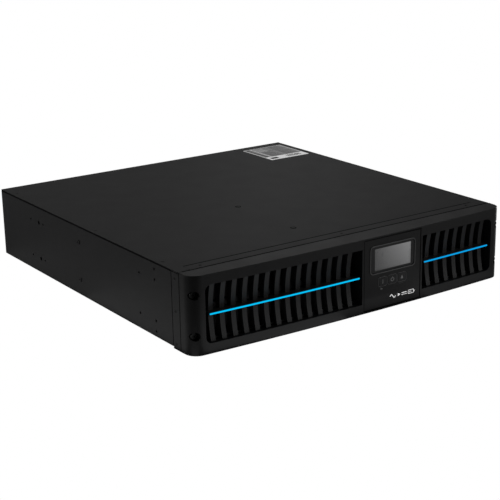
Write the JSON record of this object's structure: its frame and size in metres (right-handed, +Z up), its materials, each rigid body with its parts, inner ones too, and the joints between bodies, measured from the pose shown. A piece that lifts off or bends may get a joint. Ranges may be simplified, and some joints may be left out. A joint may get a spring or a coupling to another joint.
{
  "type": "rack or tower uninterruptible power supply",
  "caption": "Low, deep black steel case with a bowed plastic bezel, curved-fin grilles with blue lit strips, and a pull-out display and button module; outlets and fans at the rear.",
  "frame": {"origin": "middle of the whole object in plan, on the surface that the feet stand on", "axes": "+X to the right as seen from the front, +Y towards the rear panel, +Z up; the bezel faces -Y"},
  "size_m": [0.438, 0.4664, 0.0882],
  "materials": {
    "black_steel": "fine-textured black powder coat, satin",
    "bare_steel": "zinc-plated",
    "laminated_steel": "varnished laminations",
    "bezel_plastic": "fine-grained moulded, matte",
    "grille_plastic": "smooth moulded, satin",
    "lit_strip": "translucent light guide, lit from behind",
    "lens": "clear tinted polycarbonate",
    "lcd": "unlit display glass",
    "key_plastic": "satin",
    "socket_plastic": "moulded, matte",
    "fan_plastic": "moulded, satin",
    "green_plastic": "moulded, satin",
    "battery_plastic": "moulded, matte",
    "circuit_board": "solder mask",
    "aluminium": "extruded, satin",
    "copper": "enamelled winding wire",
    "capacitor_sleeve": "shrink sleeve",
    "rubber": "moulded",
    "label": "laminated rating label"
  },
  "bodies": {
    "body": {"chassis_tray": "black_steel", "top_cover": "black_steel", "front_frame": "black_steel", "rear_panel": "black_steel", "foot_front_left": "rubber", "foot_rear_left": "rubber", "foot_front_right": "rubber", "foot_rear_right": "rubber", "front_bezel": "bezel_plastic", "bezel_screw_1": "bare_steel", "bezel_screw_2": "bare_steel", "bezel_screw_3": "bare_steel", "bezel_screw_4": "bare_steel", "grille_left": "grille_plastic", "light_strip_left": "lit_strip", "grille_right": "grille_plastic", "light_strip_right": "lit_strip", "battery_tray": "bare_steel", "battery_door": "black_steel", "battery_front_left": "battery_plastic", "battery_rear_left": "battery_plastic", "battery_front_right": "battery_plastic", "battery_rear_right": "battery_plastic", "partition_wall": "bare_steel", "main_board": "circuit_board", "heatsink_inner": "aluminium", "heatsink_outer": "aluminium", "transformer_core": "laminated_steel", "transformer_winding": "copper", "inductor_front": "copper", "inductor_rear": "copper", "capacitor_1": "capacitor_sleeve", "capacitor_2": "capacitor_sleeve", "fan_right_frame": "fan_plastic", "fan_right_guard": "bare_steel", "fan_left_frame": "fan_plastic", "fan_left_guard": "bare_steel", "outlet_bank_lower": "socket_plastic", "outlet_bank_upper": "socket_plastic", "ac_inlet": "socket_plastic", "breaker_body": "socket_plastic", "slot_cover": "black_steel", "serial_port": "bare_steel", "usb_port": "bare_steel", "network_ports": "socket_plastic", "epo_terminal": "green_plastic", "ground_stud": "bare_steel", "rating_label": "label"},
    "control_module": {"module_housing": "bezel_plastic", "module_back": "bezel_plastic", "display_lens": "lens", "lcd_panel": "lcd", "display_board": "circuit_board"},
    "on_key": {"button_on": "key_plastic"},
    "off_key": {"button_off": "key_plastic"},
    "select_key": {"button_select": "key_plastic"},
    "right_fan": {"fan_right_rotor": "fan_plastic"},
    "left_fan": {"fan_left_rotor": "fan_plastic"},
    "breaker_reset": {"breaker_button": "key_plastic"}
  },
  "joints": [
    {"name": "module_pull_out", "type": "slide", "parent": "body", "child": "control_module", "axis": [0, -1, 0], "range_m": [0, 0.025]},
    {"name": "on_key_press", "type": "slide", "parent": "control_module", "child": "on_key", "axis": [0, 1, 0], "range_m": [0, 0.001], "stiffness_N_per_m": 800, "springref_m": -0.001},
    {"name": "off_key_press", "type": "slide", "parent": "control_module", "child": "off_key", "axis": [0, 1, 0], "range_m": [0, 0.001], "stiffness_N_per_m": 800, "springref_m": -0.001},
    {"name": "select_key_press", "type": "slide", "parent": "control_module", "child": "select_key", "axis": [0, 1, 0], "range_m": [0, 0.001], "stiffness_N_per_m": 800, "springref_m": -0.001},
    {"name": "right_fan_spin", "type": "hinge", "parent": "body", "child": "right_fan", "pos_m": [0.167, 0.211, 0.0456], "axis": [0, 1, 0], "continuous": true},
    {"name": "left_fan_spin", "type": "hinge", "parent": "body", "child": "left_fan", "pos_m": [0.081, 0.211, 0.0456], "axis": [0, 1, 0], "continuous": true},
    {"name": "breaker_reset_travel", "type": "slide", "parent": "body", "child": "breaker_reset", "axis": [0, 1, 0], "range_m": [0, 0.003]}
  ]
}
